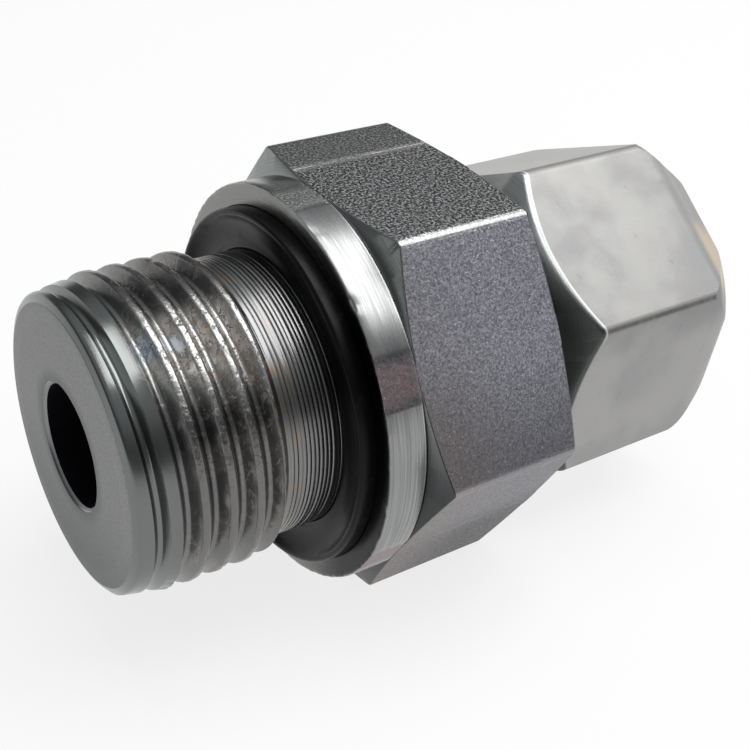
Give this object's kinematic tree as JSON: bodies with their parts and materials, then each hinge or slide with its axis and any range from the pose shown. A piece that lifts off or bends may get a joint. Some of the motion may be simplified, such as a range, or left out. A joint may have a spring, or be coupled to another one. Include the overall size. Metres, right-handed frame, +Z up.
{
  "type": "straight swivel stud fitting",
  "caption": "Straight hydraulic stud fitting: parallel pipe thread with a captive face seal, hexagon body and a free-turning union nut over a sealing cone.",
  "frame": {"origin": "centre of the collar's port face, on the fitting's axis", "axes": "+X along the axis from the stud to the nut, +Z up, one flat of the body facing down"},
  "size_m": [0.0466, 0.0312, 0.027],
  "materials": {
    "body_steel": "grey zinc plate over turned ends and a grainy drawn hexagon",
    "nut_steel": "bright satin zinc plate",
    "wire_steel": "plain drawn spring wire",
    "seal_rubber": "smooth moulded, slightly oily"
  },
  "bodies": {
    "fitting": {"fitting_body": "body_steel", "stud_seal_ring": "seal_rubber", "retaining_wire": "wire_steel", "cone_seal_ring": "seal_rubber"},
    "nut": {"swivel_nut": "nut_steel"}
  },
  "joints": [
    {"name": "nut_swivel", "type": "hinge", "parent": "fitting", "child": "nut", "pos_m": [0.02417, 0, 0], "axis": [1, 0, 0], "continuous": true}
  ]
}
